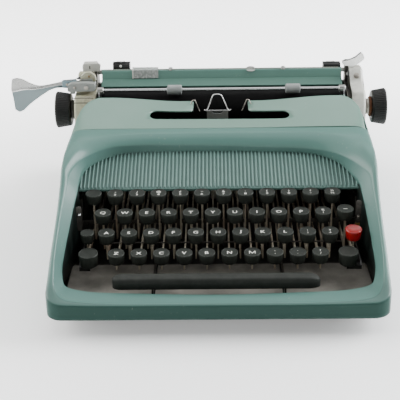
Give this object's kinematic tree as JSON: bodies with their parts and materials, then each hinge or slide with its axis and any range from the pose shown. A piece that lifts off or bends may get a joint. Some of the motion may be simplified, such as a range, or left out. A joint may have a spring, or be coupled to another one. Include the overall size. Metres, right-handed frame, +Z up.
{
  "type": "typewriter",
  "caption": "Portable manual typewriter: painted sheet casing, round keys on levers, space bar, hinged ribbon cover and a sliding carriage with platen, bail and return lever.",
  "frame": {"origin": "on the table plane under the feet, on the keyboard's centre plane, midway between front and rear feet", "axes": "+X to the typist's right, +Y from the typist to the carriage, +Z up"},
  "size_m": [0.3794, 0.3603, 0.1479],
  "materials": {
    "shell_paint": "semi-gloss enamel, worn at the edges",
    "band_paint": "semi-gloss enamel",
    "grey_paint": "matt grey enamel",
    "key_plastic": "dark grey moulded keytops with pale lettering, on steel levers",
    "red_plastic": "red moulded keytop on a steel lever",
    "steel": "plain steel",
    "dark_steel": "blackened steel",
    "chrome": "polished plating",
    "alloy": "satin cast alloy",
    "cover_enamel": "beige grey enamel, stained",
    "rubber": "matt",
    "foot_rubber": "matt",
    "knob_plastic": "black moulding, fluted rim"
  },
  "bodies": {
    "housing": {"body_shell": "shell_paint", "base_pan": "grey_paint", "rubber_feet": "foot_rubber", "keyboard_plate": "grey_paint", "ribbed_panel": "shell_paint", "machine_frame": "dark_steel", "carriage_rail": "steel"},
    "ribbon_cover": {"ribbon_cover": "shell_paint"},
    "key_q": {"key_q": "key_plastic"},
    "key_w": {"key_w": "key_plastic"},
    "key_e": {"key_e": "key_plastic"},
    "key_r": {"key_r": "key_plastic"},
    "key_t": {"key_t": "key_plastic"},
    "key_y": {"key_y": "key_plastic"},
    "key_u": {"key_u": "key_plastic"},
    "key_i": {"key_i": "key_plastic"},
    "key_o": {"key_o": "key_plastic"},
    "key_p": {"key_p": "key_plastic"},
    "key_a": {"key_a": "key_plastic"},
    "key_s": {"key_s": "key_plastic"},
    "key_d": {"key_d": "key_plastic"},
    "key_f": {"key_f": "key_plastic"},
    "key_g": {"key_g": "key_plastic"},
    "key_h": {"key_h": "key_plastic"},
    "key_j": {"key_j": "key_plastic"},
    "key_k": {"key_k": "key_plastic"},
    "key_l": {"key_l": "key_plastic"},
    "key_z": {"key_z": "key_plastic"},
    "key_x": {"key_x": "key_plastic"},
    "key_c": {"key_c": "key_plastic"},
    "key_v": {"key_v": "key_plastic"},
    "key_b": {"key_b": "key_plastic"},
    "key_n": {"key_n": "key_plastic"},
    "key_m": {"key_m": "key_plastic"},
    "number_row_keys": {"number_row_keys": "key_plastic"},
    "punctuation_keys": {"punctuation_keys": "key_plastic"},
    "backspace_key": {"backspace_key": "key_plastic"},
    "margin_release_key": {"margin_release_key": "key_plastic"},
    "tab_key": {"tab_key": "red_plastic"},
    "shift_lock_key": {"shift_lock_key": "key_plastic"},
    "shift_keys": {"shift_keys": "key_plastic"},
    "space_bar": {"space_bar": "key_plastic"},
    "type_basket": {"type_segment": "dark_steel", "typebars": "steel", "type_guide": "steel"},
    "ribbon_vibrator": {"ribbon_vibrator": "steel"},
    "spool_left": {"ribbon_spool_left": "steel"},
    "spool_right": {"ribbon_spool_right": "steel"},
    "carriage": {"carriage_frame": "steel", "carriage_end_covers": "cover_enamel", "paper_table": "shell_paint"},
    "platen": {"platen_roller": "rubber", "platen_knobs": "knob_plastic"},
    "paper_guide": {"paper_guide": "alloy"},
    "margin_stop_left": {"margin_stop_left": "key_plastic"},
    "margin_stop_right": {"margin_stop_right": "key_plastic"},
    "paper_bail": {"paper_bail": "chrome"},
    "return_lever": {"return_lever": "alloy"},
    "paper_release_lever": {"paper_release_lever": "alloy"},
    "line_space_lever": {"line_space_lever": "cover_enamel"}
  },
  "joints": [
    {"name": "ribbon_cover_hinge", "type": "hinge", "parent": "housing", "child": "ribbon_cover", "pos_m": [0, 0.052, 0.106], "axis": [-1, 0, 0], "range_deg": [0, 60]},
    {"name": "carriage_slide", "type": "slide", "parent": "housing", "child": "carriage", "axis": [1, 0, 0], "range_m": [-0.112, 0.104]},
    {"name": "platen_turn", "type": "hinge", "parent": "carriage", "child": "platen", "pos_m": [0.004, 0.083, 0.099], "axis": [1, 0, 0], "continuous": true},
    {"name": "return_lever_pull", "type": "hinge", "parent": "carriage", "child": "return_lever", "pos_m": [-0.136, 0.094, 0.122], "axis": [0, 0, 1], "range_deg": [0, 22], "stiffness_Nm_per_rad": 0.6, "springref_deg": -11.46},
    {"name": "paper_bail_swing", "type": "hinge", "parent": "carriage", "child": "paper_bail", "pos_m": [0.004, 0.0705, 0.092], "axis": [1, 0, 0], "range_deg": [0, 15]},
    {"name": "paper_release_pull", "type": "hinge", "parent": "carriage", "child": "paper_release_lever", "pos_m": [0.1335, 0.109, 0.1245], "axis": [1, 0, 0], "range_deg": [0, 15]},
    {"name": "line_space_set", "type": "hinge", "parent": "carriage", "child": "line_space_lever", "pos_m": [-0.128, 0.109, 0.1215], "axis": [1, 0, 0], "range_deg": [-10, 10]},
    {"name": "shift_keys_press", "type": "hinge", "parent": "housing", "child": "shift_keys", "pos_m": [0, 0.06, 0.032], "axis": [1, 0, 0], "range_deg": [0, 2.6], "stiffness_Nm_per_rad": 6, "springref_deg": -6.88},
    {"name": "type_basket_shift", "type": "slide", "parent": "housing", "child": "type_basket", "axis": [0, 0, -1], "range_m": [0, 0.0065]},
    {"name": "ribbon_vibrator_lift", "type": "slide", "parent": "housing", "child": "ribbon_vibrator", "axis": [0, 0, 1], "range_m": [0, 0.009], "stiffness_N_per_m": 60, "springref_m": -0.01},
    {"name": "spool_left_turn", "type": "hinge", "parent": "housing", "child": "spool_left", "pos_m": [-0.092, 0.022, 0.07], "axis": [0, 0, 1], "continuous": true},
    {"name": "spool_right_turn", "type": "hinge", "parent": "housing", "child": "spool_right", "pos_m": [0.092, 0.022, 0.07], "axis": [0, 0, 1], "continuous": true},
    {"name": "margin_stop_left_slide", "type": "slide", "parent": "carriage", "child": "margin_stop_left", "axis": [1, 0, 0], "range_m": [-0.015, 0.085]},
    {"name": "margin_stop_right_slide", "type": "slide", "parent": "carriage", "child": "margin_stop_right", "axis": [1, 0, 0], "range_m": [-0.1, 0.003]},
    {"name": "paper_guide_slide", "type": "slide", "parent": "carriage", "child": "paper_guide", "axis": [1, 0, 0], "range_m": [-0.028, 0.1]},
    {"name": "space_bar_press", "type": "hinge", "parent": "housing", "child": "space_bar", "pos_m": [0, 0.06, 0.032], "axis": [1, 0, 0], "range_deg": [0, 1.9], "stiffness_Nm_per_rad": 6, "springref_deg": -3.44},
    {"name": "shift_lock_key_press", "type": "hinge", "parent": "housing", "child": "shift_lock_key", "pos_m": [0, 0.06, 0.032], "axis": [1, 0, 0], "range_deg": [0, 2.6], "stiffness_Nm_per_rad": 1.2, "springref_deg": -2.86},
    {"name": "tab_key_press", "type": "hinge", "parent": "housing", "child": "tab_key", "pos_m": [0, 0.06, 0.032], "axis": [1, 0, 0], "range_deg": [0, 3.7], "stiffness_Nm_per_rad": 1.2, "springref_deg": -2.86},
    {"name": "margin_release_key_press", "type": "hinge", "parent": "housing", "child": "margin_release_key", "pos_m": [0, 0.06, 0.032], "axis": [1, 0, 0], "range_deg": [0, 4.2], "stiffness_Nm_per_rad": 1.2, "springref_deg": -2.86},
    {"name": "backspace_key_press", "type": "hinge", "parent": "housing", "child": "backspace_key", "pos_m": [0, 0.06, 0.032], "axis": [1, 0, 0], "range_deg": [0, 4.8], "stiffness_Nm_per_rad": 1.2, "springref_deg": -2.86},
    {"name": "number_row_keys_press", "type": "hinge", "parent": "housing", "child": "number_row_keys", "pos_m": [0, 0.06, 0.032], "axis": [1, 0, 0], "range_deg": [0, 4.8], "stiffness_Nm_per_rad": 8, "springref_deg": -2.86},
    {"name": "punctuation_keys_press", "type": "hinge", "parent": "housing", "child": "punctuation_keys", "pos_m": [0, 0.06, 0.032], "axis": [1, 0, 0], "range_deg": [0, 3.35], "stiffness_Nm_per_rad": 6, "springref_deg": -2.86},
    {"name": "key_q_press", "type": "hinge", "parent": "housing", "child": "key_q", "pos_m": [0, 0.06, 0.032], "axis": [1, 0, 0], "range_deg": [0, 4.2], "stiffness_Nm_per_rad": 1.2, "springref_deg": -2.86},
    {"name": "key_w_press", "type": "hinge", "parent": "housing", "child": "key_w", "pos_m": [0, 0.06, 0.032], "axis": [1, 0, 0], "range_deg": [0, 4.2], "stiffness_Nm_per_rad": 1.2, "springref_deg": -2.86},
    {"name": "key_e_press", "type": "hinge", "parent": "housing", "child": "key_e", "pos_m": [0, 0.06, 0.032], "axis": [1, 0, 0], "range_deg": [0, 4.2], "stiffness_Nm_per_rad": 1.2, "springref_deg": -2.86},
    {"name": "key_r_press", "type": "hinge", "parent": "housing", "child": "key_r", "pos_m": [0, 0.06, 0.032], "axis": [1, 0, 0], "range_deg": [0, 4.2], "stiffness_Nm_per_rad": 1.2, "springref_deg": -2.86},
    {"name": "key_t_press", "type": "hinge", "parent": "housing", "child": "key_t", "pos_m": [0, 0.06, 0.032], "axis": [1, 0, 0], "range_deg": [0, 4.2], "stiffness_Nm_per_rad": 1.2, "springref_deg": -2.86},
    {"name": "key_y_press", "type": "hinge", "parent": "housing", "child": "key_y", "pos_m": [0, 0.06, 0.032], "axis": [1, 0, 0], "range_deg": [0, 4.2], "stiffness_Nm_per_rad": 1.2, "springref_deg": -2.86},
    {"name": "key_u_press", "type": "hinge", "parent": "housing", "child": "key_u", "pos_m": [0, 0.06, 0.032], "axis": [1, 0, 0], "range_deg": [0, 4.2], "stiffness_Nm_per_rad": 1.2, "springref_deg": -2.86},
    {"name": "key_i_press", "type": "hinge", "parent": "housing", "child": "key_i", "pos_m": [0, 0.06, 0.032], "axis": [1, 0, 0], "range_deg": [0, 4.2], "stiffness_Nm_per_rad": 1.2, "springref_deg": -2.86},
    {"name": "key_o_press", "type": "hinge", "parent": "housing", "child": "key_o", "pos_m": [0, 0.06, 0.032], "axis": [1, 0, 0], "range_deg": [0, 4.2], "stiffness_Nm_per_rad": 1.2, "springref_deg": -2.86},
    {"name": "key_p_press", "type": "hinge", "parent": "housing", "child": "key_p", "pos_m": [0, 0.06, 0.032], "axis": [1, 0, 0], "range_deg": [0, 4.2], "stiffness_Nm_per_rad": 1.2, "springref_deg": -2.86},
    {"name": "key_a_press", "type": "hinge", "parent": "housing", "child": "key_a", "pos_m": [0, 0.06, 0.032], "axis": [1, 0, 0], "range_deg": [0, 3.7], "stiffness_Nm_per_rad": 1.2, "springref_deg": -2.86},
    {"name": "key_s_press", "type": "hinge", "parent": "housing", "child": "key_s", "pos_m": [0, 0.06, 0.032], "axis": [1, 0, 0], "range_deg": [0, 3.7], "stiffness_Nm_per_rad": 1.2, "springref_deg": -2.86},
    {"name": "key_d_press", "type": "hinge", "parent": "housing", "child": "key_d", "pos_m": [0, 0.06, 0.032], "axis": [1, 0, 0], "range_deg": [0, 3.7], "stiffness_Nm_per_rad": 1.2, "springref_deg": -2.86},
    {"name": "key_f_press", "type": "hinge", "parent": "housing", "child": "key_f", "pos_m": [0, 0.06, 0.032], "axis": [1, 0, 0], "range_deg": [0, 3.7], "stiffness_Nm_per_rad": 1.2, "springref_deg": -2.86},
    {"name": "key_g_press", "type": "hinge", "parent": "housing", "child": "key_g", "pos_m": [0, 0.06, 0.032], "axis": [1, 0, 0], "range_deg": [0, 3.7], "stiffness_Nm_per_rad": 1.2, "springref_deg": -2.86},
    {"name": "key_h_press", "type": "hinge", "parent": "housing", "child": "key_h", "pos_m": [0, 0.06, 0.032], "axis": [1, 0, 0], "range_deg": [0, 3.7], "stiffness_Nm_per_rad": 1.2, "springref_deg": -2.86},
    {"name": "key_j_press", "type": "hinge", "parent": "housing", "child": "key_j", "pos_m": [0, 0.06, 0.032], "axis": [1, 0, 0], "range_deg": [0, 3.7], "stiffness_Nm_per_rad": 1.2, "springref_deg": -2.86},
    {"name": "key_k_press", "type": "hinge", "parent": "housing", "child": "key_k", "pos_m": [0, 0.06, 0.032], "axis": [1, 0, 0], "range_deg": [0, 3.7], "stiffness_Nm_per_rad": 1.2, "springref_deg": -2.86},
    {"name": "key_l_press", "type": "hinge", "parent": "housing", "child": "key_l", "pos_m": [0, 0.06, 0.032], "axis": [1, 0, 0], "range_deg": [0, 3.7], "stiffness_Nm_per_rad": 1.2, "springref_deg": -2.86},
    {"name": "key_z_press", "type": "hinge", "parent": "housing", "child": "key_z", "pos_m": [0, 0.06, 0.032], "axis": [1, 0, 0], "range_deg": [0, 3.35], "stiffness_Nm_per_rad": 1.2, "springref_deg": -2.86},
    {"name": "key_x_press", "type": "hinge", "parent": "housing", "child": "key_x", "pos_m": [0, 0.06, 0.032], "axis": [1, 0, 0], "range_deg": [0, 3.35], "stiffness_Nm_per_rad": 1.2, "springref_deg": -2.86},
    {"name": "key_c_press", "type": "hinge", "parent": "housing", "child": "key_c", "pos_m": [0, 0.06, 0.032], "axis": [1, 0, 0], "range_deg": [0, 3.35], "stiffness_Nm_per_rad": 1.2, "springref_deg": -2.86},
    {"name": "key_v_press", "type": "hinge", "parent": "housing", "child": "key_v", "pos_m": [0, 0.06, 0.032], "axis": [1, 0, 0], "range_deg": [0, 3.35], "stiffness_Nm_per_rad": 1.2, "springref_deg": -2.86},
    {"name": "key_b_press", "type": "hinge", "parent": "housing", "child": "key_b", "pos_m": [0, 0.06, 0.032], "axis": [1, 0, 0], "range_deg": [0, 3.35], "stiffness_Nm_per_rad": 1.2, "springref_deg": -2.86},
    {"name": "key_n_press", "type": "hinge", "parent": "housing", "child": "key_n", "pos_m": [0, 0.06, 0.032], "axis": [1, 0, 0], "range_deg": [0, 3.35], "stiffness_Nm_per_rad": 1.2, "springref_deg": -2.86},
    {"name": "key_m_press", "type": "hinge", "parent": "housing", "child": "key_m", "pos_m": [0, 0.06, 0.032], "axis": [1, 0, 0], "range_deg": [0, 3.35], "stiffness_Nm_per_rad": 1.2, "springref_deg": -2.86}
  ],
  "couplings": [
    {"joint": "type_basket_shift", "follows": "shift_keys_press", "m_per_rad": 0.14104},
    {"joint": "spool_right_turn", "follows": "spool_left_turn", "ratio": 1}
  ]
}
